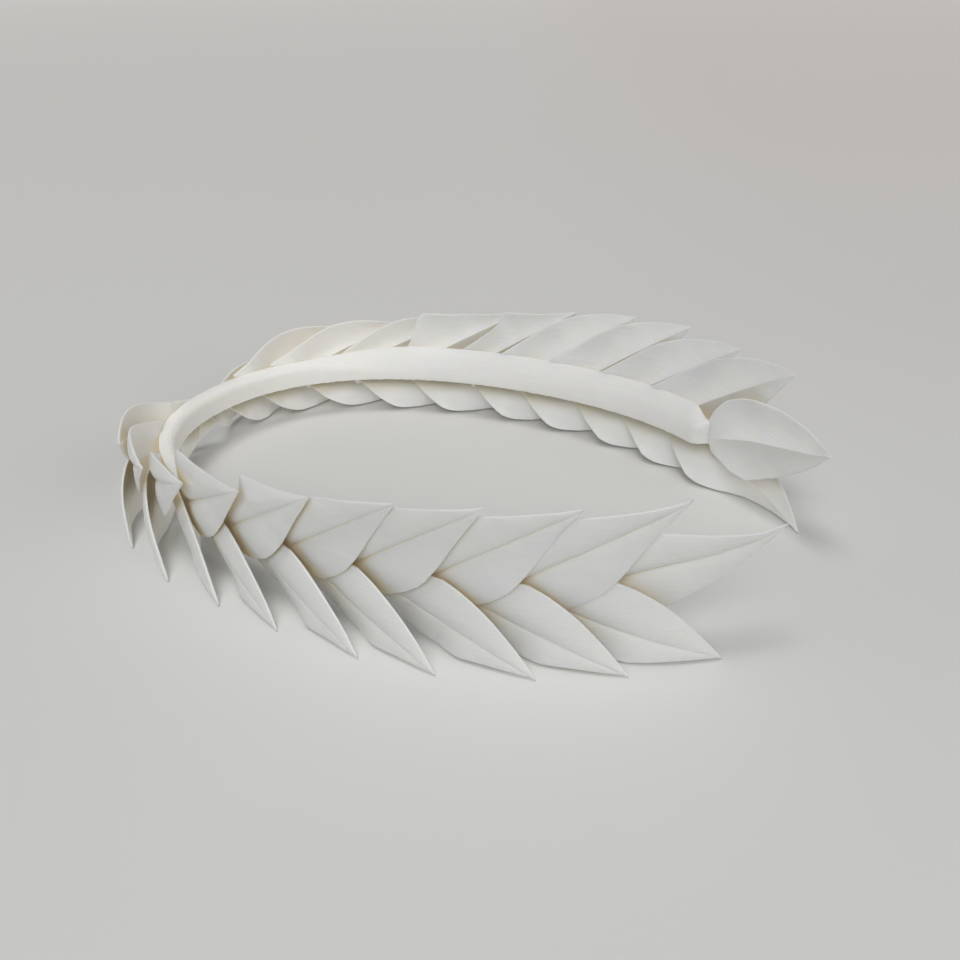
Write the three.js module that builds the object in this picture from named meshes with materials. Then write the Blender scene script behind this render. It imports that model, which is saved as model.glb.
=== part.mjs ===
// Open-front laurel wreath for the head, standing on the tips of its lower leaves.
// Frame: millimetres, +Z up, +X from the closed back to the open front, Y = 0 the
// plane of symmetry (+Y is the wearer's left). Origin under the middle of the
// wreath's box, on the surface it stands on.
//
// Everything is laid out in a chart that follows the band: an arc position s along
// the band's centre line (0 at the closed back), a height z, and a distance h
// outward from that centre line. A leaf is a thin folded sheet in that chart.
import * as THREE from 'three';

// ---- band: a strip bent to an egg-shaped open ring -------------------------------
const BAND_HALF_LENGTH = 100.0;   // centre line's half axis along X
const BAND_HALF_WIDTH = 69.1;     // centre line's half axis along Y
const BAND_ROUNDNESS = 2.147;     // 2 is an ellipse, more is squarer
const BAND_CENTRE_X = -5.328;      // puts the whole wreath's box over the origin
const BAND_HEIGHT = 8.4;
const BAND_THICKNESS = 5.2;
const BAND_CHAMFER = 0.9;
const BAND_END_ARC = 215.5;       // arc from the back to each free end
const BAND_SEGMENTS_PER_SIDE = 30;
const BACK_FACET_HALF = 6.0;      // half length of the flat facet at the closed back
const BAND_MID_HEIGHT = 19.9;     // centre line's height above the floor at X = 0
const BAND_TILT = 0.024;          // rise per mm of X: larger front leaves lift the front

// ---- leaves -----------------------------------------------------------------------
const LEAF_HALF_WIDTH = 12.8;
const LEAF_MID_THICKNESS = 1.5;
const LEAF_EDGE_THICKNESS = 0.9;
const LEAF_POINT_HALF = 0.45;     // half width left at the tip and at the base
const LEAF_GAP = 0.55;            // clearance between a leaf's base and the band
const FLOOR_EDGE = 0.0;           // lowest height of a lower leaf's edge, flattened there
const LEAF_STRAIGHT = 0.25;        // 0: bent along the band, 1: straight seen from above
const ROOT_Z = { upper: -1.2, lower: -3.8 };   // base's midrib over the band's centre line

// Outline and fold along a leaf: share of its length, half width of the upper and of the
// lower half over the leaf's half width, and rise of each half's edge over its width.
const LEAF_STATIONS = [
  { u: 0.00, upper: 0.00, lower: 0.00, upper_rise: 0.00, lower_rise: 0.00 },
  { u: 0.03, upper: 0.36, lower: 0.36, upper_rise: 0.00, lower_rise: 0.04 },
  { u: 0.10, upper: 0.74, lower: 0.72, upper_rise: 0.00, lower_rise: 0.10 },
  { u: 0.22, upper: 0.96, lower: 0.96, upper_rise: 0.00, lower_rise: 0.15 },
  { u: 0.34, upper: 1.01, lower: 1.03, upper_rise: 0.00, lower_rise: 0.18 },
  { u: 0.46, upper: 0.98, lower: 0.96, upper_rise: 0.00, lower_rise: 0.19 },
  { u: 0.60, upper: 0.84, lower: 0.73, upper_rise: 0.04, lower_rise: 0.16 },
  { u: 0.74, upper: 0.59, lower: 0.46, upper_rise: 0.06, lower_rise: 0.14 },
  { u: 0.88, upper: 0.29, lower: 0.21, upper_rise: 0.08, lower_rise: 0.13 },
  { u: 1.00, upper: 0.00, lower: 0.00, upper_rise: 0.08, lower_rise: 0.13 },
];

// One row of leaves above the band and one below it, foremost leaf first. s, z, h: the
// tip's arc position, height and distance outward; run: arc from the base to the tip;
// width: half width over LEAF_HALF_WIDTH.
const LEAVES = {
  upper: [
    { s: 255.0, z: 36.6, h: 22.4, run: 42.0, width: 1.00 },
    { s: 232.9, z: 50.1, h: 16.75, run: 41.5, width: 0.98 },
    { s: 210.5, z: 49.4, h: 12.9, run: 41.5, width: 0.95 },
    { s: 188.9, z: 49.8, h: 13.5, run: 41.5, width: 0.93 },
    { s: 167.8, z: 47.9, h: 12.8, run: 41.5, width: 0.90 },
    { s: 144.8, z: 44.9, h: 13.3, run: 41.5, width: 0.88 },
    { s: 122.0, z: 40.4, h: 13.5, run: 41.5, width: 0.86 },
    { s: 99.8, z: 35.3, h: 14.0, run: 41.5, width: 0.83 },
    { s: 78.0, z: 31.5, h: 14.2, run: 38.0, width: 0.80 },
    { s: 58.0, z: 30.0, h: 15.0, run: 34.0, width: 0.78 },
    { s: 37.1, z: 27.1, h: 14.4, run: 27.8, width: 0.56 },
  ],
  lower: [
    { s: 241.8, z: 0.45, h: 19.8, run: 41.5, width: 1.00 },
    { s: 220.9, z: 0.45, h: 17.6, run: 41.5, width: 0.98 },
    { s: 200.5, z: 0.45, h: 16.8, run: 41.5, width: 0.95 },
    { s: 177.6, z: 0.45, h: 18.0, run: 41.5, width: 0.93 },
    { s: 157.5, z: 0.45, h: 17.4, run: 41.5, width: 0.90 },
    { s: 132.5, z: 0.45, h: 16.6, run: 41.5, width: 0.88 },
    { s: 111.6, z: 0.45, h: 16.6, run: 41.5, width: 0.86 },
    { s: 91.8, z: 0.45, h: 18.6, run: 41.5, width: 0.83 },
    { s: 70.0, z: 0.45, h: 19.0, run: 39.0, width: 0.81 },
    { s: 48.8, z: 0.45, h: 16.8, run: 34.0, width: 0.76 },
    { s: 27.3, z: 0.45, h: 15.2, run: 25.0, width: 0.56 },
  ],
};

// ---- centre line of the band, tabulated by arc length ------------------------------
const CURVE_STEPS = 4000;
const centreLine = (() => {
  const points = [];
  for (let i = 0; i <= CURVE_STEPS; i++) {
    const a = Math.PI * (1 - i / CURVE_STEPS);
    const c = Math.cos(a), s = Math.sin(a);
    const r = (Math.abs(c / BAND_HALF_LENGTH) ** BAND_ROUNDNESS
      + Math.abs(s / BAND_HALF_WIDTH) ** BAND_ROUNDNESS) ** (-1 / BAND_ROUNDNESS);
    points.push(new THREE.Vector2(BAND_CENTRE_X + r * c, -r * s));
  }
  const arc = [0];
  for (let i = 1; i <= CURVE_STEPS; i++) arc.push(arc[i - 1] + points[i].distanceTo(points[i - 1]));
  return { points, arc };
})();

function onCentreLine(s) {
  const { points, arc } = centreLine;
  const q = Math.min(Math.abs(s), arc[CURVE_STEPS] - 1e-6);
  let lo = 0, hi = CURVE_STEPS;
  while (hi - lo > 1) { const m = (lo + hi) >> 1; if (arc[m] <= q) lo = m; else hi = m; }
  const t = (q - arc[lo]) / (arc[hi] - arc[lo]);
  const p = points[lo].clone().lerp(points[hi], t);
  const a = points[Math.max(0, lo - 8)], b = points[Math.min(CURVE_STEPS, hi + 8)];
  const tangent = b.clone().sub(a).normalize();
  const out = new THREE.Vector2(tangent.y, -tangent.x);
  if (s < 0) { p.y = -p.y; out.y = -out.y; }
  return { p, out };
}

const bandHeightAt = (x) => BAND_MID_HEIGHT + BAND_TILT * x;

// chart (s, z, h) to space, on the wearer's right side (Y < 0 for s > 0)
function chartPoint(s, z, h) {
  const { p, out } = onCentreLine(s);
  return [p.x + out.x * h, p.y + out.y * h, z];
}

// ---- closed mesh from stations of equal, outward-ordered section loops --------------
function skin(loops, mirrored) {
  const n = loops[0].length, position = [], index = [];
  for (const loop of loops) for (const [x, y, z] of loop) position.push(x, mirrored ? -y : y, z);
  const tri = (a, b, c) => (mirrored ? index.push(a, c, b) : index.push(a, b, c));
  for (let i = 0; i + 1 < loops.length; i++) {
    for (let j = 0; j < n; j++) {
      const a = i * n + j, b = i * n + (j + 1) % n, c = a + n, d = b + n;
      tri(a, c, b); tri(b, c, d);
    }
  }
  return { position, index, tri, n, last: (loops.length - 1) * n };
}

function toGeometry({ position, index }) {
  const geometry = new THREE.BufferGeometry();
  geometry.setAttribute('position', new THREE.Float32BufferAttribute(position, 3));
  geometry.setIndex(index);
  geometry.computeVertexNormals();
  return geometry;
}

// ---- the band -----------------------------------------------------------------------
function bandGeometry() {
  const stations = [];
  for (let i = -BAND_SEGMENTS_PER_SIDE; i <= BAND_SEGMENTS_PER_SIDE; i++) {
    if (i === 0) continue;
    const t = (Math.abs(i) - 1) / (BAND_SEGMENTS_PER_SIDE - 1);
    stations.push(Math.sign(i) * (BACK_FACET_HALF + (BAND_END_ARC - BACK_FACET_HALF) * t));
  }
  const h = BAND_THICKNESS / 2, z = BAND_HEIGHT / 2, k = BAND_CHAMFER;
  const section = [[h, -z + k], [h, z - k], [h - k, z], [-h + k, z],
    [-h, z - k], [-h, -z + k], [-h + k, -z], [h - k, -z]];
  const loops = stations.map((s) => {
    const mid = bandHeightAt(onCentreLine(s).p.x);
    return section.map(([dh, dz]) => chartPoint(s, mid + dz, dh));
  });
  const body = skin(loops, false);
  for (let j = 1; j + 1 < body.n; j++) {
    body.tri(0, j, j + 1);
    body.tri(body.last, body.last + j + 1, body.last + j);
  }
  return toGeometry(body);
}

// ---- one leaf: a pointed oval sheet, folded along its midrib with the valley outward --
// radius of the centre line's bend about an arc position, from three points on it
function bendRadius(s) {
  const a = onCentreLine(s - 12).p, b = onCentreLine(s).p, c = onCentreLine(s + 12).p;
  const cross = Math.abs((b.x - a.x) * (c.y - a.y) - (b.y - a.y) * (c.x - a.x));
  return a.distanceTo(b) * b.distanceTo(c) * c.distanceTo(a) / (2 * cross);
}

function leafGeometry(row, leaf, mirrored) {
  const rootArc = leaf.s - leaf.run;
  const rootZ = bandHeightAt(onCentreLine(rootArc).p.x) + ROOT_Z[row];
  const rootH = BAND_THICKNESS / 2 + LEAF_GAP + LEAF_MID_THICKNESS / 2;
  const halfWidth = LEAF_HALF_WIDTH * leaf.width;
  const dz = leaf.z - rootZ, length = Math.hypot(leaf.run, dz);
  const across = [-dz / length, leaf.run / length];
  const bend = LEAF_STRAIGHT * leaf.run ** 2 / (2 * bendRadius((rootArc + leaf.s) / 2));
  const loops = LEAF_STATIONS.map((at) => {
    const { u } = at;
    const floorWidth = (rootZ + dz * u - FLOOR_EDGE) / across[1];
    const top = Math.max(LEAF_POINT_HALF, halfWidth * at.upper);
    const bottom = Math.max(LEAF_POINT_HALF, Math.min(halfWidth * at.lower, floorWidth));
    const midH = rootH + (leaf.h - rootH - bend) * u + bend * u * u;
    const place = (v, side) => {
      const w = v > 0 ? top : -v * bottom;
      const half = (v === 0 ? LEAF_MID_THICKNESS : LEAF_EDGE_THICKNESS) / 2;
      const rise = w * (v > 0 ? at.upper_rise : at.lower_rise);
      return chartPoint(rootArc + leaf.run * u + across[0] * v * w, rootZ + dz * u + across[1] * v * w,
        midH + (v === 0 ? 0 : rise) + side * half);
    };
    return [place(-1, 1), place(0, 1), place(1, 1), place(1, -1), place(0, -1), place(-1, -1)];
  });
  const body = skin(loops, mirrored);
  const e = body.last;
  for (const [a, b, c] of [[0, 1, 5], [1, 4, 5], [1, 2, 4], [2, 3, 4]]) {
    body.tri(a, b, c);
    body.tri(e + a, e + c, e + b);
  }
  return toGeometry(body);
}

// ---- assembly -------------------------------------------------------------------------
const warmWhite = () => new THREE.MeshStandardMaterial({ color: 0xe8e5de, roughness: 0.58, metalness: 0 });

const wreath = new THREE.Group();
wreath.name = 'laurel_wreath';

function addPiece(name, geometry) {
  const mesh = new THREE.Mesh(geometry, warmWhite());
  mesh.name = name;
  wreath.add(mesh);
}

addPiece('band', bandGeometry());
for (const side of ['right', 'left']) {
  for (const row of ['upper', 'lower']) {
    LEAVES[row].forEach((leaf, i) => {
      addPiece(`leaf_${side}_${row}_${String(i + 1).padStart(2, '0')}`, leafGeometry(row, leaf, side === 'left'));
    });
  }
}

export default wreath;
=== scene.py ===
"""Looks of an open-front laurel wreath: a printed white band with two rows of folded leaves.

Units inside the builders are millimetres in the part's frame: +Z up, +X from the closed
back to the open front, Y = 0 the plane of symmetry. Meshes are written in metres.
Positions follow the band: s is the arc from the closed back along its centre line,
z the height and h the distance outward from that centre line.
"""
import math

import bpy
import numpy as np
from mathutils import Matrix, Vector


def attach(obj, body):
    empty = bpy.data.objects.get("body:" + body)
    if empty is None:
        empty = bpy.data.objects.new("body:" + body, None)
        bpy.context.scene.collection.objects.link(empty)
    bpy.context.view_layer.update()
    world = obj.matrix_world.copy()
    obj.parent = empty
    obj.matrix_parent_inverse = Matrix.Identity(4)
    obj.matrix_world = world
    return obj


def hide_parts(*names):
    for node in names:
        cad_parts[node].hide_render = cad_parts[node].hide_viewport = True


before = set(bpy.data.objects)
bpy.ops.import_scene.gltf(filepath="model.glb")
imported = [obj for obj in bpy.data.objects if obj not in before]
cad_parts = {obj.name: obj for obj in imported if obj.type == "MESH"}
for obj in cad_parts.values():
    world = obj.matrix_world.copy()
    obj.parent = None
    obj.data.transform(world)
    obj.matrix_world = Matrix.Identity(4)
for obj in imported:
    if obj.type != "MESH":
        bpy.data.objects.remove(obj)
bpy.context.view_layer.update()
MM = 0.001

# ---------------------------------------------------------------- sizes, as the part's
HALF_LENGTH, HALF_WIDTH, ROUNDNESS, CENTRE_X = 100.0, 69.1, 2.147, -5.328
BAND_HEIGHT, BAND_THICKNESS, BAND_END_ARC = 8.4, 5.2, 215.5
BAND_MID_HEIGHT, BAND_TILT = 19.9, 0.024
PAIRS = 11
LEAF_HALF_WIDTH, BACK_SHRINK = 12.8, 0.76
MID_THICKNESS, EDGE_THICKNESS = 1.7, 0.8
# one line a leaf, foremost first: tip's arc, height and distance outward, arc from the base
# to the tip, and half width over LEAF_HALF_WIDTH
LEAVES = {
    "upper": [(255.0, 36.6, 22.4, 42.0, 1.00), (232.9, 50.1, 16.4, 41.5, 0.98), (210.5, 49.4, 12.9, 41.5, 0.95),
              (188.9, 49.8, 13.5, 41.5, 0.93), (167.8, 47.9, 12.8, 41.5, 0.90), (144.8, 44.9, 13.3, 41.5, 0.88),
              (122.0, 40.4, 13.5, 41.5, 0.86), (99.8, 35.3, 14.0, 41.5, 0.83), (78.0, 31.5, 14.2, 38.0, 0.80),
              (58.0, 30.0, 15.0, 34.0, 0.78), (34.0, 21.5, 11.5, 25.5, 0.38)],
    "lower": [(241.8, 0.45, 19.8, 41.5, 1.00), (220.9, 0.45, 17.6, 41.5, 0.98), (200.5, 0.45, 16.6, 41.5, 0.95),
              (177.6, 0.45, 18.0, 41.5, 0.93), (157.5, 0.45, 17.4, 41.5, 0.90), (132.5, 0.45, 16.6, 41.5, 0.88),
              (111.6, 0.45, 16.6, 41.5, 0.86), (91.8, 0.45, 18.6, 41.5, 0.83), (70.0, 0.45, 19.0, 39.0, 0.81),
              (48.8, 0.45, 16.8, 34.0, 0.76), (27.3, 0.45, 15.2, 25.0, 0.56)],
}
ROOT_Z = {"upper": -1.2, "lower": -3.8}      # base's midrib over the band's centre line
STRAIGHT = {"upper": 0.55, "lower": 0.9}     # 0: bent along the band, 1: straight seen from above
FRONT_STRAIGHT = {"upper": 1.0, "lower": 0.45}   # the same for the foremost leaves
# the leaves round the back flare out early and curl in again towards the tip
BULGE = [0.0, 0.0, 0.0, 0.0, 0.0, 0.0, 0.0, 0.30, 0.60, 0.45, 0.40]
# the lower halves of the lower row tuck in further towards the back
TUCK = [1.0, 1.0, 1.0, 1.05, 1.1, 1.15, 1.2, 1.35, 1.5, 1.6, 1.6]
BACK_TUCK = [-0.42, -0.46, -0.42, -0.16, 0.03]
# a leaf's outline: half width at shares of its length; the base runs on behind the band
UPPER_EDGE = [(-0.30, 0.94), (0.0, 0.97), (0.2, 0.98), (0.35, 1.01), (0.45, 0.99), (0.52, 0.93), (0.6, 0.84),
              (0.68, 0.71), (0.76, 0.55), (0.84, 0.38), (0.92, 0.19), (1.0, 0.0)]
# behind the sixth pair the upper edge runs straight from a corner at the base to the tip
BACK_UPPER_EDGE = {
    6: [(-0.30, 0.60), (0.0, 0.62), (0.2, 0.66), (0.36, 0.72), (0.44, 0.82), (0.48, 0.98), (0.51, 1.10), (0.55, 0.99),
        (0.6, 0.84), (0.7, 0.58), (0.8, 0.35), (0.9, 0.16), (1.0, 0.0)],
    7: [(-0.30, 0.45), (-0.1, 0.50), (0.0, 0.55), (0.1, 0.62), (0.2, 0.90), (0.28, 1.34), (0.34, 1.42), (0.4, 1.28),
        (0.5, 1.02), (0.6, 0.80), (0.7, 0.58), (0.8, 0.37), (0.9, 0.17), (1.0, 0.0)],
    8: [(-0.30, 0.50), (0.0, 0.62), (0.2, 0.72), (0.35, 0.80), (0.5, 0.80), (0.6, 0.73), (0.7, 0.59), (0.8, 0.41),
        (0.9, 0.20), (1.0, 0.0)],
}
LOWER_EDGE = [(-0.30, 0.15), (-0.2, 0.31), (-0.1, 0.47), (0.0, 0.65), (0.08, 0.78), (0.15, 0.88), (0.24, 0.98), (0.33, 1.03), (0.43, 1.0),
              (0.52, 0.88), (0.62, 0.70), (0.72, 0.50), (0.82, 0.32), (0.92, 0.14), (1.0, 0.0)]
# the foremost upper leaf grows out of the band's end in a wedge
FRONT_UPPER_EDGE = [(-0.06, 0.36), (-0.03, 0.43), (0.06, 0.74), (0.17, 0.98), (0.29, 1.02), (0.38, 0.99),
                    (0.46, 0.93), (0.57, 0.82), (0.67, 0.65), (0.77, 0.46), (0.86, 0.27), (0.94, 0.12), (1.0, 0.0)]
FRONT_LOWER_EDGE = [(-0.06, 0.33), (0.04, 0.60), (0.10, 0.86), (0.22, 1.07), (0.31, 1.01), (0.40, 0.93),
                    (0.50, 0.83), (0.64, 0.65), (0.78, 0.44), (0.90, 0.21), (1.0, 0.0)]
# height of a lower leaf's flattened edge over the floor, foremost first: the print has
# lifted a little off the surface along its sides
EDGE_LIFT = [0.5, 0.7, 0.9, 0.9, 0.8, 0.8, 0.7, 0.6, 0.5, 0.4, 0.4]

# ---------------------------------------------------------------- finish of the leaves
STATIONS = 112                   # rows of faces along a leaf
HALF_COLUMNS = [0.0, 0.025, 0.06, 0.12, 0.2, 0.3, 0.42, 0.55, 0.68, 0.8, 0.9, 0.965, 1.0]
# each half swells from the crease and falls back to its edge: swell and edge's rise over the
# half's width, upper half first
SWELL = {"upper": (0.25, 0.15), "lower": (0.17, 0.12)}
EDGE_RISE_AT = [0.0, 0.2, 0.45, 0.6, 0.95]       # shares of the length
EDGE_RISE = {"upper": ([0.0, 0.0, 0.0, 0.08, 0.40], [0.04, 0.16, 0.17, 0.13, 0.06]),
             "lower": ([0.02, 0.06, 0.11, 0.13, 0.13], [-0.30, -0.50, -0.36, -0.02, 0.05])}
CREASE_DEPTH, CREASE_WIDTH = 0.22, 0.34
BASE_H = 3.2                     # a base's mid surface, fused to the band's outer face
RIM = 0.24                       # rounding of the leaf's edge
RIM_ANGLES = [62.0, 22.0, -22.0, -62.0]
COVE = 3.6                       # the band's top runs up in a cove to the backs of the leaves
END_ROUND = 6.0                  # rounding of the band's ends


# ---------------------------------------------------------------- the band's centre line
def centre_line():
    steps = 4000
    a = math.pi * (1 - np.arange(steps + 1) / steps)
    r = (np.abs(np.cos(a) / HALF_LENGTH) ** ROUNDNESS
         + np.abs(np.sin(a) / HALF_WIDTH) ** ROUNDNESS) ** (-1 / ROUNDNESS)
    x, y = CENTRE_X + r * np.cos(a), -r * np.sin(a)
    arc = np.concatenate([[0], np.cumsum(np.hypot(np.diff(x), np.diff(y)))])
    x = np.concatenate([x[:0:-1], x])
    y = np.concatenate([-y[:0:-1], y])
    arc = np.concatenate([-arc[:0:-1], arc])
    tx, ty = np.gradient(x, arc), np.gradient(y, arc)
    n = np.hypot(tx, ty)
    return arc, x, y, ty / n, -tx / n


ARC, LINE_X, LINE_Y, OUT_X, OUT_Y = centre_line()


def chart(s, z, h):
    """Chart to space, on the wearer's right for s > 0."""
    ox, oy = np.interp(s, ARC, OUT_X), np.interp(s, ARC, OUT_Y)
    return np.stack([np.interp(s, ARC, LINE_X) + ox * h, np.interp(s, ARC, LINE_Y) + oy * h,
                     np.broadcast_to(z, np.shape(s))], -1)


def band_height(s):
    return BAND_MID_HEIGHT + BAND_TILT * np.interp(s, ARC, LINE_X)


def smoothstep(a, b, x):
    t = np.clip((x - a) / (b - a), 0, 1)
    return t * t * (3 - 2 * t)


def ripple(rng, x, wavelength, octaves=3):
    """Smooth seeded noise along x, about -1 to 1."""
    total = np.zeros_like(x, dtype=float)
    size = 0.0
    for k in range(octaves):
        for _ in range(3):
            f = 2 ** k / wavelength * rng.uniform(0.7, 1.3)
            total += 0.6 ** k * np.sin(2 * math.pi * (x * f + rng.uniform()))
            size += 0.6 ** k * 0.5
    return total / size


# ---------------------------------------------------------------- mesh helpers
def new_object(name, points_mm, faces, sharp_chains=(), mirrored=False, tones=()):
    points = np.array(points_mm, float) * MM
    if mirrored:
        points[:, 1] *= -1
        faces = [f[::-1] for f in faces]
    mesh = bpy.data.meshes.new(name)
    mesh.from_pydata(points.tolist(), [], faces)
    mesh.update()
    mesh.polygons.foreach_set("use_smooth", np.ones(len(mesh.polygons), bool))
    for title, values in tones:
        mesh.attributes.new(title, "FLOAT", "POINT").data.foreach_set("value", np.asarray(values, np.float32))
    if len(sharp_chains):
        pairs = set()
        for chain in sharp_chains:
            pairs.update((min(a, b), max(a, b)) for a, b in zip(chain[:-1], chain[1:]))
        ends = np.zeros(len(mesh.edges) * 2, np.int32)
        mesh.edges.foreach_get("vertices", ends)
        ends = np.sort(ends.reshape(-1, 2), axis=1)
        flags = np.array([(a, b) in pairs for a, b in ends.tolist()], bool)
        sharp = mesh.attributes.get("sharp_edge") or mesh.attributes.new("sharp_edge", "BOOLEAN", "EDGE")
        sharp.data.foreach_set("value", flags)
    mesh.validate()
    obj = bpy.data.objects.new(name, mesh)
    bpy.context.scene.collection.objects.link(obj)
    return obj


def strip(faces, a, b):
    """Quads between two closed loops of vertex numbers."""
    n = len(a)
    for i in range(n):
        j = (i + 1) % n
        faces.append((a[i], a[j], b[j], b[i]))


# ---------------------------------------------------------------- one leaf
CURVATURE = np.abs(np.gradient(np.unwrap(np.arctan2(OUT_Y, OUT_X)), ARC))


def outline(table, u):
    """A smooth curve through a table of (share of length, half width), ending in a point."""
    at, value = np.array(table).T
    fine = np.arange(-0.40, 1.2001, 0.002)
    w = np.where(fine <= 1, np.interp(fine, at, value), -np.interp(2 - fine, at, value))
    k = np.exp(-0.5 * (np.arange(-20, 21) / 8.0) ** 2)
    w = np.convolve(np.pad(w, 20, mode="edge"), k / k.sum(), "valid")
    return np.maximum(np.interp(u, fine, w), 0.012)


def make_leaf(row, number, side):
    rng = np.random.default_rng(hash_seed(row, number, side))
    s1, z1, h1, run_arc, width = LEAVES[row][number - 1]
    s0 = s1 - run_arc
    lower, front = row == "lower", row == "upper" and number == 1
    z0, h0 = float(band_height(s0)) + ROOT_Z[row], BASE_H
    half_width = LEAF_HALF_WIDTH * width
    ds, dz = s1 - s0, z1 - z0
    length = math.hypot(ds, dz)
    across = np.array([-dz / length, ds / length])
    bend = (FRONT_STRAIGHT if number == 1 else STRAIGHT)[row] * float(np.interp(0.5 * (s0 + s1), ARC, CURVATURE)) * ds ** 2 / 2
    if BULGE[number - 1]:
        bend = -BULGE[number - 1] * (h1 - h0)

    half = np.array(HALF_COLUMNS)
    v = np.concatenate([-half[:0:-1], half])
    mid = len(half) - 1
    # the base: behind the band for the row's upper halves, a wedge for the foremost leaf
    first_u = np.full(len(v), -0.05) if front else -0.20 * np.clip(-v if lower else v, 0, 1)
    k = (np.linspace(0, 1, STATIONS + 1)[:-1] ** 1.15)[:, None]
    uu = first_u[None, :] + (1 - first_u[None, :]) * k
    upper_edge = UPPER_EDGE if lower else BACK_UPPER_EDGE.get(number, UPPER_EDGE)
    top = half_width * outline(FRONT_UPPER_EDGE if front else upper_edge, uu)
    bottom = half_width * outline(FRONT_LOWER_EDGE if front else LOWER_EDGE, uu)
    rib_z = z0 + dz * uu
    if lower:
        rib_z = rib_z + 1.1 * smoothstep(0, 0.25, uu) * (1 - np.clip(uu, 0, 1) ** 12)
        lift = EDGE_LIFT[number - 1] * smoothstep(1.0, 0.72, uu)
        room = np.maximum(0.12, (rib_z - 0.25 - lift) / across[1])
        soft = -0.9 * np.log(np.exp(-bottom / 0.9) + np.exp(-room / 0.9))
        bottom = np.clip(soft, 0.1, np.minimum(bottom, room))
        under_band = float(band_height(s0)) + BAND_HEIGHT / 2 - 0.9
        top = np.minimum(top, np.maximum(1.0, (under_band - rib_z) / across[1]))
    elif front:
        rib_z = rib_z - 1.1 * smoothstep(0.3, 0.7, uu) * (1 - smoothstep(0.85, 1.0, uu))
    y = np.where(v > 0, top * v, bottom * v)
    av = np.abs(v)[None, :]
    steep = 0.24 + 0.24 * np.clip(uu, 0, 1) ** 2
    grown = np.clip(uu, 0, 1)
    if number > 5:
        grown = 0 * grown
    fall = np.where(v > 0, 0.80 - (0.10 if lower else 0.55) * grown, 0.80)
    swell = (1 - np.exp(-av / steep) - fall * av ** 2) * smoothstep(-0.05, 0.30, uu)
    swell = swell * np.where(v > 0, 1 + (0.2 if lower else 0.9) * grown, 1.0)
    tilt = [av * np.interp(uu, EDGE_RISE_AT, EDGE_RISE[row][i]) for i in (0, 1)]
    if number > 5 and not lower:
        tilt[0] = 0 * tilt[0]
    if lower:
        back = smoothstep(5, 9, number)
        tilt[1] = tilt[1] + back * (av * np.interp(uu, EDGE_RISE_AT, BACK_TUCK) - tilt[1])
        tilt[1] = tilt[1] * np.where(tilt[1] < 0, TUCK[number - 1], 1.0)
    rise = np.where(v > 0, top * (SWELL[row][0] * swell + tilt[0]), bottom * (SWELL[row][1] * swell + tilt[1]))
    s = s0 + ds * uu + across[0] * y
    z = rib_z + across[1] * y
    up_u = np.clip(uu, 0, 1)
    h = h0 + (h1 - h0 - bend) * up_u + bend * up_u ** 2 + rise
    # slow unevenness of the printed sheet
    phase = rng.uniform(0, 2 * math.pi, 4)
    h = h + 0.10 * np.sin(s / 5.1 + phase[0]) * np.sin(z / 4.3 + phase[1]) * smoothstep(0.05, 0.3, uu)
    h = h + 0.06 * np.sin(s / 2.3 + phase[2] + z / 1.9) * smoothstep(0.2, 0.5, uu)
    thick = 0.5 * (EDGE_THICKNESS + (MID_THICKNESS - EDGE_THICKNESS) * (1 - np.abs(v))) * np.ones_like(s)
    thick *= (1 - 0.35 * smoothstep(0.9, 1.0, uu))
    groove = CREASE_DEPTH * np.exp(-(y / CREASE_WIDTH) ** 2) * smoothstep(0.06, 0.22, uu)

    rows, cols = s.shape
    outer = chart(s, z, h + thick - groove).reshape(-1, 3)
    inner = chart(s, z, h - thick).reshape(-1, 3)
    tip_z = z1
    ends = chart(np.array([s1, s1]), np.array([tip_z, tip_z]), np.array([h1 + 0.32, h1 - 0.32]))
    count = rows * cols
    num = np.arange(count).reshape(rows, cols)
    out_no, in_no = num, num + count
    tip_out, tip_in = 2 * count, 2 * count + 1
    points = [outer, inner, ends]

    faces = []
    for i in range(rows - 1):
        for j in range(cols - 1):
            faces.append((out_no[i, j], out_no[i + 1, j], out_no[i + 1, j + 1], out_no[i, j + 1]))
            faces.append((in_no[i, j], in_no[i, j + 1], in_no[i + 1, j + 1], in_no[i + 1, j]))
    for j in range(cols - 1):
        faces.append((tip_out, out_no[-1, j + 1], out_no[-1, j]))
        faces.append((tip_in, in_no[-1, j], in_no[-1, j + 1]))

    # the rim: down the base, along the lower edge to the tip, and back along the upper edge
    def around(a, tip):
        return np.concatenate([a[0, ::-1], a[1:, 0], [tip], a[:0:-1, -1]])

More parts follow.
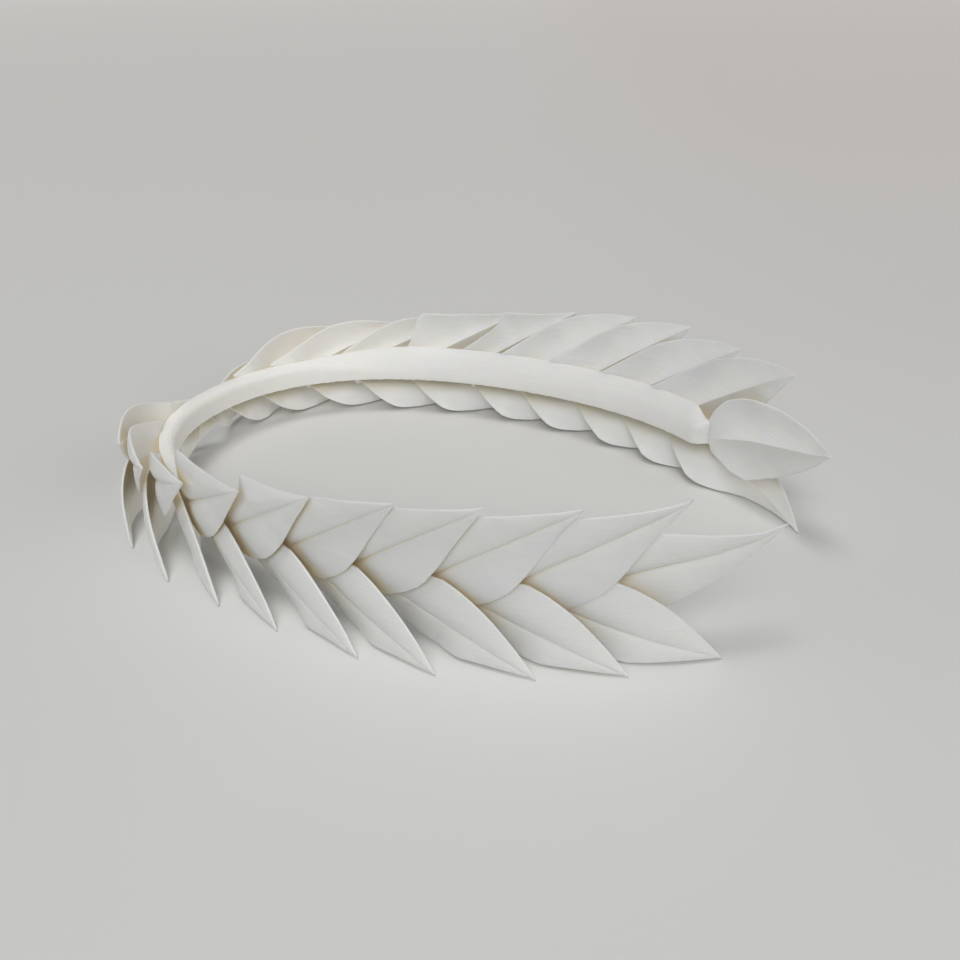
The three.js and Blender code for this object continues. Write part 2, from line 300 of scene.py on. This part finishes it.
    flat_s, flat_z, flat_h = around(s, s1), around(z, tip_z), around(h, h1)
    flat_t = around(thick, 0.32)
    flat_u = around(uu, 1.0)
    ts = np.roll(flat_s, -1) - np.roll(flat_s, 1)
    tz = np.roll(flat_z, -1) - np.roll(flat_z, 1)
    tn = np.hypot(ts, tz)
    os_, oz = tz / tn, -ts / tn          # outward in the sheet, for this order of the loop
    run = np.concatenate([[0], np.cumsum(np.hypot(np.diff(flat_s), np.diff(flat_z)))])
    hang = np.clip(-oz, 0, 1) ** 1.5 * smoothstep(1.5, 4.0, flat_z) * smoothstep(0.02, 0.12, flat_u)
    ragged = 0.05 * ripple(rng, run, 1.6) + hang * (0.10 * ripple(rng, run, 1.1) + 0.05 * ripple(rng, run, 0.6))
    if not lower:
        below = run[cols - 1], run[cols + rows - 1]
        for _ in range(rng.integers(3, 7)):
            at = below[0] + rng.uniform(0.08, 0.66) * (below[1] - below[0])
            ragged = ragged + hang * rng.uniform(0.12, 0.42) * np.exp(-((run - at) / rng.uniform(0.3, 0.75)) ** 2)
    ragged = np.maximum(ragged, -0.2)
    rim_loops = []
    # inside marks the inner faces for the material's painted paleness and glow; the rim goes between
    inside = [np.zeros(count), np.ones(count), [0.0, 1.0]]
    # painted shadow: an olive strip on the lower leaves' inner faces, fading out 8 mm under the band
    below_band = (band_height(s) - BAND_HEIGHT / 2 - z).reshape(-1)
    painted_band_shadow = smoothstep(8.0, 1.0, below_band) if lower else np.zeros(count)
    in_shade = [np.zeros(count), painted_band_shadow, [0.0, 0.0]]
    start = 2 * count + 2
    n_loop = len(flat_s)
    for a in RIM_ANGLES:
        reach = RIM * math.cos(math.radians(a)) + ragged * (0.55 + 0.45 * math.cos(math.radians(a)))
        points.append(chart(flat_s + os_ * reach, np.maximum(flat_z + oz * reach, 0.02),
                            flat_h + flat_t * 0.98 * math.sin(math.radians(a)) / math.sin(math.radians(80))))
        rim_loops.append(list(range(start, start + n_loop)))
        inside.append(np.full(n_loop, 0.5 - a / 150))
        in_shade.append(np.zeros(n_loop))
        start += n_loop
    chain = [around(out_no, tip_out), *rim_loops, around(in_no, tip_in)]
    for a, b in zip(chain[:-1], chain[1:]):
        strip(faces, b, a)
    first = int(np.searchsorted(uu[:, mid], 0.08))
    sharp = [list(out_no[first:, mid]) + [tip_out], list(in_no[first:, mid]) + [tip_in]]
    faces = [tuple(int(i) for i in f) for f in faces]
    sharp = [[int(i) for i in c] for c in sharp]
    name = f"leaf_{side}_{row}_{number:02d}"
    tones = [("inside", np.concatenate(inside)), ("in_shade", np.concatenate(in_shade))]
    return new_object("shown_" + name, np.concatenate(points), faces, sharp, side == "left", tones), name


def hash_seed(row, number, side):
    return 1000 + 400 * (row == "lower") + 20 * number + (side == "left")


# ---------------------------------------------------------------- the band
def make_band():
    rng = np.random.default_rng(31)
    end = BAND_END_ARC - 4.0
    nose = END_ROUND * (1 - np.sin(np.radians(np.linspace(90, 6, 15))))
    s = np.concatenate([nose - end, np.linspace(END_ROUND - end, end - END_ROUND, 400),
                        end - nose[::-1]])
    n = len(s)
    hh, hz = BAND_THICKNESS / 2, BAND_HEIGHT / 2
    def lean(up):
        return (-hh + (2 * hh + 0.45) * max(0, (up + 2.8) / (hz + COVE + 2.8)) ** 2, up)

    # section: outward and up, plain and with the cove
    plain = [(hh - 0.1, hz - 0.2), (hh, hz), (hh - 0.15, hz)]
    risen = [(hh + 0.5, hz - 0.2), (hh + 0.6, hz + COVE), (hh + 0.45, hz + COVE)]
    for k in range(1, 15):
        f = k / 15
        plain.append((hh - 0.15 - f * 2.35, hz))
        risen.append(lean(hz + COVE - f * (COVE + 3.2)))
    for sign_h, sign_z, a0, r in ((-1, 1, 90, 2.7), (-1, -1, 180, 0.8), (1, -1, 270, 0.8)):
        for a in np.radians(a0 + np.array([0, 15, 30, 45, 60, 75, 90])):
            at = (sign_h * (hh - r) + r * math.cos(a), sign_z * (hz - r) + r * math.sin(a))
            plain.append(at)
            risen.append(lean(hz - 3.2 - 0.04 * (math.degrees(a) - 90)) if a0 == 90 else at)
    plain, risen = np.array(plain), np.array(risen)
    m = len(plain)
    under = np.clip(-plain[:, 1] / hz, 0, 1) ** 2
    wave_z = 0.10 * ripple(rng, s, 2.2) + 0.10 * ripple(rng, s, 7.0)
    wave_h = 0.05 * ripple(rng, s, 9.0)
    cove = (smoothstep(-35, -85, s) + smoothstep(80, 110, s)) * smoothstep(end - 1, end - 9, np.abs(s))
    section = plain[None] + (risen - plain)[None] * cove[:, None, None]
    # the ends round off outward into the foremost leaves
    t_end = np.clip(1 - (end - np.abs(s)) / END_ROUND, 0, 1)
    keep = np.maximum(np.sqrt(1 - t_end ** 2), 0.06)
    grid_s = np.repeat(s[:, None], m, 1)
    grid_h = hh - (hh - section[:, :, 0]) * keep[:, None] + wave_h[:, None] + 1.4 * (t_end ** 3)[:, None]
    grid_z = band_height(s)[:, None] + section[:, :, 1] * (1 - 0.12 * t_end ** 4)[:, None] + wave_z[:, None] * under[None, :]
    points = chart(grid_s, grid_z, grid_h).reshape(-1, 3)
    caps = chart(s[[0, -1]], band_height(s[[0, -1]]), np.full(2, 0.94 * hh + 1.4))
    faces = []
    no = np.arange(n * m).reshape(n, m)
    for i in range(n - 1):
        for j in range(m):
            q = (j + 1) % m
            faces.append((int(no[i, j]), int(no[i + 1, j]), int(no[i + 1, q]), int(no[i, q])))
    for j in range(m):
        q = (j + 1) % m
        faces.append((n * m, int(no[0, j]), int(no[0, q])))
        faces.append((n * m + 1, int(no[-1, q]), int(no[-1, j])))
    faces = [f[::-1] for f in faces]
    rings = [[int(x) for x in no[0]] + [int(no[0, 0])], [int(x) for x in no[-1]] + [int(no[-1, 0])]]
    # the band counts as inner face throughout, so it takes their painted paleness and glow
    tones = [("inside", np.ones(n * m + 2)), ("in_shade", np.zeros(n * m + 2))]
    return new_object("shown_band", np.concatenate([points, caps]), faces, rings, False, tones)


# ---------------------------------------------------------------- the printed plastic
def node(tree, kind, at=(0, 0), **values):
    n = tree.nodes.new(kind)
    n.location = at
    for key, value in values.items():
        if hasattr(n, key):
            setattr(n, key, value)
        else:
            n.inputs[key].default_value = value
    return n


def maths(tree, operation, a, b=None, c=None):
    n = tree.nodes.new("ShaderNodeMath")
    n.operation = operation
    for i, x in enumerate((a, b, c)):
        if x is None:
            continue
        if isinstance(x, (int, float)):
            n.inputs[i].default_value = x
        else:
            tree.links.new(x, n.inputs[i])
    return n.outputs[0]


def printed_plastic():
    mat = bpy.data.materials.new("printed_plastic")
    mat.cycles.emission_sampling = "NONE"
    mat.use_nodes = True
    t = mat.node_tree
    t.nodes.clear()
    link = t.links.new
    out = node(t, "ShaderNodeOutputMaterial", (900, 0))
    bsdf = node(t, "ShaderNodeBsdfPrincipled", (600, 0))
    link(bsdf.outputs[0], out.inputs[0])
    where = node(t, "ShaderNodeTexCoord", (-1200, 0)).outputs["Object"]
    xyz = node(t, "ShaderNodeSeparateXYZ", (-1000, 0))
    link(where, xyz.inputs[0])

    def stretched(fx, fy, fz, detail, rough=0.5):
        m = node(t, "ShaderNodeMapping", (-900, 0))
        m.inputs["Scale"].default_value = (fx, fy, fz)
        link(where, m.inputs["Vector"])
        nz = node(t, "ShaderNodeTexNoise", (-700, 0))
        nz.inputs["Scale"].default_value = 1.0
        nz.inputs["Detail"].default_value = detail
        nz.inputs["Roughness"].default_value = rough
        link(m.outputs[0], nz.inputs["Vector"])
        return nz.outputs["Fac"]

    # layers: rounded beads one layer high, a little wavy, some standing proud
    wander = stretched(60, 60, 60, 2)
    height = maths(t, "ADD", xyz.outputs["Z"], maths(t, "MULTIPLY", wander, 0.00022))
    turn = maths(t, "FRACT", maths(t, "MULTIPLY", height, 1 / 0.00030))
    x = maths(t, "MULTIPLY_ADD", turn, 2.0, -1.0)
    bead = maths(t, "SQRT", maths(t, "MAXIMUM", maths(t, "SUBTRACT", 1.0, maths(t, "MULTIPLY", x, x)), 0.0))
    streak = stretched(55, 55, 1500, 3, 0.55)
    broad = stretched(25, 25, 420, 2)
    patch = stretched(90, 90, 120, 2)
    strength = maths(t, "MULTIPLY_ADD", patch, 1.3, 0.1)
    relief = maths(t, "ADD", maths(t, "MULTIPLY", bead, 0.35),
                   maths(t, "MULTIPLY", streak, strength))
    relief = maths(t, "ADD", relief, maths(t, "MULTIPLY", broad, 0.6))
    grain = stretched(2600, 2600, 2600, 2)
    relief = maths(t, "ADD", relief, maths(t, "MULTIPLY", grain, 0.12))
    bump = node(t, "ShaderNodeBump", (350, -300))
    bump.inputs["Strength"].default_value = 0.95
    bump.inputs["Distance"].default_value = 0.00022
    link(relief, bump.inputs["Height"])
    link(bump.outputs[0], bsdf.inputs["Normal"])

    # colour: warm white, a touch creamier in patches and along some layers
    tone = maths(t, "ADD", maths(t, "MULTIPLY", stretched(40, 40, 40, 3), 0.6),
                 maths(t, "MULTIPLY", streak, 0.4))
    ramp = node(t, "ShaderNodeValToRGB", (200, 200))
    ramp.color_ramp.elements[0].position = 0.3
    ramp.color_ramp.elements[0].color = (0.872, 0.872, 0.852, 1)
    ramp.color_ramp.elements[1].position = 0.7
    ramp.color_ramp.elements[1].color = (0.902, 0.906, 0.898, 1)
    link(tone, ramp.inputs[0])
    # painted shade and light through the plastic: the colour darkens to olive, then yellowish brown, where ambient
    # occlusion finds leaves lying close over each other
    close = node(t, "ShaderNodeAmbientOcclusion", (0, 500))
    close.samples = 8
    close.inputs["Distance"].default_value = 0.008
    clear = node(t, "ShaderNodeMapRange", (0, 700))
    clear.inputs["From Min"].default_value = 0.003
    clear.inputs["From Max"].default_value = 0.010
    link(xyz.outputs["Z"], clear.inputs["Value"])
    open_share = maths(t, "SUBTRACT", 1.0, maths(t, "MULTIPLY", maths(t, "SUBTRACT", 1.0, close.outputs["AO"]), clear.outputs[0]))
    painted_gap_shade = node(t, "ShaderNodeValToRGB", (220, 520))
    stops = [(0.12, (0.90, 0.73, 0.47, 1)), (0.34, (0.95, 0.85, 0.66, 1)), (0.52, (0.985, 0.968, 0.925, 1)), (0.72, (1, 1, 1, 1))]
    painted_gap_shade.color_ramp.elements[0].position, painted_gap_shade.color_ramp.elements[0].color = stops[0]
    painted_gap_shade.color_ramp.elements[1].position, painted_gap_shade.color_ramp.elements[1].color = stops[3]
    for at, colour in stops[1:3]:
        painted_gap_shade.color_ramp.elements.new(at).color = colour
    link(open_share, painted_gap_shade.inputs[0])
    # painted light: the inner faces are paler than the outer ones, and darker and olive where the band above shades
    # them
    inside = node(t, "ShaderNodeAttribute", (-200, 800), attribute_name="inside").outputs["Fac"]
    in_shade = node(t, "ShaderNodeAttribute", (-200, 1000), attribute_name="in_shade").outputs["Fac"]

    def multiplied(colour, share, by):
        m = node(t, "ShaderNodeMix", (420, 260), data_type="RGBA", blend_type="MULTIPLY")
        link(share, m.inputs["Factor"])
        link(colour, m.inputs["A"])
        if isinstance(by, tuple):
            m.inputs["B"].default_value = by
        else:
            link(by, m.inputs["B"])
        return m.outputs["Result"]

    # painted gap shade, in full on the outer faces and at 40% on the inner faces
    colour = multiplied(ramp.outputs[0], maths(t, "MULTIPLY_ADD", inside, -0.6, 1.0), painted_gap_shade.outputs[0])
    # painted shade: the outer faces a little darker than the inner ones
    colour = multiplied(colour, maths(t, "SUBTRACT", 1.0, inside), (0.945, 0.945, 0.949, 1))
    # painted olive shadow of the band on the lower leaves' inner faces
    colour = multiplied(colour, in_shade, (0.65, 0.61, 0.48, 1))
    link(colour, bsdf.inputs["Base Color"])
    # painted glow: the gaps emit a faint warm light in place of light that comes through the thin leaves
    through = node(t, "ShaderNodeMapRange", (300, 900))
    through.inputs["From Min"].default_value, through.inputs["From Max"].default_value = 0.62, 0.10
    through.inputs["To Max"].default_value = 0.025
    link(open_share, through.inputs["Value"])
    bsdf.inputs["Emission Color"].default_value = (1.0, 0.93, 0.79, 1)
    # and a painted glow on the inner faces, most at the closed back and low down, but not in the painted band shadow
    at_back = node(t, "ShaderNodeMapRange", (300, 1100))
    at_back.inputs["From Min"].default_value, at_back.inputs["From Max"].default_value = -0.030, -0.085
    at_back.inputs["To Max"].default_value = 0.085
    link(xyz.outputs["X"], at_back.inputs["Value"])
    low_down = node(t, "ShaderNodeMapRange", (300, 1300))
    low_down.inputs["From Min"].default_value, low_down.inputs["From Max"].default_value = 0.022, 0.010
    low_down.inputs["To Max"].default_value = 0.06
    link(xyz.outputs["Z"], low_down.inputs["Value"])
    glow = maths(t, "MULTIPLY", maths(t, "MAXIMUM", at_back.outputs[0], low_down.outputs[0]),
                 maths(t, "MULTIPLY", inside, maths(t, "SUBTRACT", 1.0, in_shade)))
    link(maths(t, "ADD", through.outputs[0], glow), bsdf.inputs["Emission Strength"])
    rough = maths(t, "MULTIPLY_ADD", patch, 0.18, 0.46)
    link(rough, bsdf.inputs["Roughness"])
    bsdf.inputs["IOR"].default_value = 1.46
    bsdf.inputs["Specular IOR Level"].default_value = 0.35
    bsdf.inputs["Subsurface Weight"].default_value = 0.5
    bsdf.inputs["Subsurface Radius"].default_value = (1.0, 0.84, 0.55)
    bsdf.inputs["Subsurface Scale"].default_value = 0.0020
    return mat


# ---------------------------------------------------------------- build
plastic = printed_plastic()
shown = []
band = make_band()
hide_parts("band")
shown.append(band)
for side in ("right", "left"):
    for row in ("upper", "lower"):
        for number in range(1, PAIRS + 1):
            leaf, node_name = make_leaf(row, number, side)
            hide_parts(node_name)
            shown.append(leaf)
for piece in shown:
    piece.data.materials.append(plastic)
    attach(piece, "root")


# ---------------------------------------------------------------- stage, light, camera
def stage_material():
    mat = bpy.data.materials.new("pale_floor")
    mat.use_nodes = True
    t = mat.node_tree
    bsdf = t.nodes["Principled BSDF"]
    where = node(t, "ShaderNodeTexCoord", (-900, 0)).outputs["Object"]
    nz = node(t, "ShaderNodeTexNoise", (-600, 0))
    nz.inputs["Scale"].default_value = 3.0
    nz.inputs["Detail"].default_value = 2.0
    t.links.new(where, nz.inputs["Vector"])
    xyz = node(t, "ShaderNodeSeparateXYZ", (-700, 300))
    t.links.new(where, xyz.inputs[0])
    # painted light: paler towards the front right corner of the table, where more light falls
    along = maths(t, "ADD", maths(t, "MULTIPLY", xyz.outputs["X"], 0.50), maths(t, "MULTIPLY", xyz.outputs["Y"], -0.87))
    shade = maths(t, "ADD", maths(t, "MULTIPLY_ADD", along, 0.8, 0.55), maths(t, "MULTIPLY_ADD", nz.outputs["Fac"], 0.3, -0.15))
    ramp = node(t, "ShaderNodeValToRGB", (-300, 0))
    ramp.color_ramp.elements[0].position = 0.0
    ramp.color_ramp.elements[0].color = (0.757, 0.745, 0.731, 1)
    ramp.color_ramp.elements[1].position = 0.55
    ramp.color_ramp.elements[1].color = (0.768, 0.774, 0.762, 1)
    last = ramp.color_ramp.elements.new(0.85)
    last.color = (0.843, 0.861, 0.857, 1)
    t.links.new(shade, ramp.inputs[0])
    # painted shade, slightly pink, towards the far right
    aside = maths(t, "ADD", maths(t, "MULTIPLY", xyz.outputs["X"], 0.87), maths(t, "MULTIPLY", xyz.outputs["Y"], 0.50))
    right = node(t, "ShaderNodeMapRange", (-300, 400))
    right.inputs["From Min"].default_value, right.inputs["From Max"].default_value = 0.05, 0.26
    t.links.new(aside, right.inputs["Value"])
    far = node(t, "ShaderNodeMapRange", (-300, 600))
    far.inputs["From Min"].default_value, far.inputs["From Max"].default_value = 0.05, -0.20
    t.links.new(along, far.inputs["Value"])
    far_right_shade = node(t, "ShaderNodeMix", (-100, 200), data_type="RGBA", blend_type="MULTIPLY")
    t.links.new(maths(t, "MULTIPLY", right.outputs[0], far.outputs[0]), far_right_shade.inputs["Factor"])
    t.links.new(ramp.outputs[0], far_right_shade.inputs["A"])
    far_right_shade.inputs["B"].default_value = (0.972, 0.952, 0.956, 1)
    t.links.new(far_right_shade.outputs["Result"], bsdf.inputs["Base Color"])
    bsdf.inputs["Roughness"].default_value = 0.7
    bsdf.inputs["Specular IOR Level"].default_value = 0.2
    return mat


def make_stage():
    """A wide pale floor that turns up into a low rim far away, the same on every side."""
    profile = [(0.0, 0.0), (1.5, 0.0), (2.6, 0.0), (3.0, 0.03), (3.3, 0.15), (3.5, 0.4), (3.6, 0.9)]
    around = 96
    points, faces = [(0, 0, 0)], []
    for r, z in profile[1:]:
        for i in range(around):
            a = 2 * math.pi * i / around
            points.append((r * math.cos(a), r * math.sin(a), z))
    for i in range(around):
        faces.append((0, 1 + i, 1 + (i + 1) % around))
    for k in range(len(profile) - 2):
        for i in range(around):
            a, b = 1 + k * around + i, 1 + k * around + (i + 1) % around
            faces.append((a, a + around, b + around, b))
    mesh = bpy.data.meshes.new("floor")
    mesh.from_pydata(points, [], faces)
    mesh.polygons.foreach_set("use_smooth", np.ones(len(mesh.polygons), bool))
    mesh.materials.append(stage_material())
    floor = bpy.data.objects.new("floor", mesh)
    bpy.context.scene.collection.objects.link(floor)


make_stage()

YAW, PITCH, ROLL = math.radians(-29.82), math.radians(27.722), math.radians(-0.659)
FOCAL_PX = 1106.32
fw = Vector((math.sin(YAW) * math.cos(PITCH), math.cos(YAW) * math.cos(PITCH), -math.sin(PITCH)))
rt = fw.cross(Vector((0, 0, 1))).normalized()
up = rt.cross(fw)
rt, up = rt * math.cos(ROLL) + up * math.sin(ROLL), up * math.cos(ROLL) - rt * math.sin(ROLL)
camera = bpy.data.cameras.new("camera")
camera.sensor_width = 36.0
camera.lens = FOCAL_PX / 960 * 36.0
camera.clip_start, camera.clip_end = 0.01, 50
camera_obj = bpy.data.objects.new("camera", camera)
camera_obj.matrix_world = Matrix((
    (rt.x, up.x, -fw.x, 0.168852), (rt.y, up.y, -fw.y, -0.27927), (rt.z, up.z, -fw.z, 0.18223), (0, 0, 0, 1)))
bpy.context.scene.collection.objects.link(camera_obj)
bpy.context.scene.camera = camera_obj


def add_sun(name, toward, strength, spread_deg, colour):
    data = bpy.data.lights.new(name, "SUN")
    data.energy, data.angle, data.color = strength, math.radians(spread_deg), colour
    obj = bpy.data.objects.new(name, data)
    obj.rotation_mode = "QUATERNION"
    obj.rotation_quaternion = Vector(toward).to_track_quat("Z", "Y")
    bpy.context.scene.collection.objects.link(obj)


add_sun("key", (0.27, -0.72, 0.64), 1.05, 30, (1.0, 1.0, 0.99))
add_sun("top", (-0.14, -0.20, 0.97), 0.84, 22, (1.0, 0.98, 0.97))
add_sun("side", (0.85, -0.10, 0.52), 0.46, 40, (1.0, 0.97, 0.93))
world = bpy.data.worlds.new("studio")
world.use_nodes = True
world.node_tree.nodes["Background"].inputs[0].default_value = (0.99, 1.0, 1.0, 1)
world.node_tree.nodes["Background"].inputs[1].default_value = 0.135
bpy.context.scene.world = world
bpy.context.scene.view_settings.view_transform = "Standard"
bpy.context.scene.view_settings.look = "None"
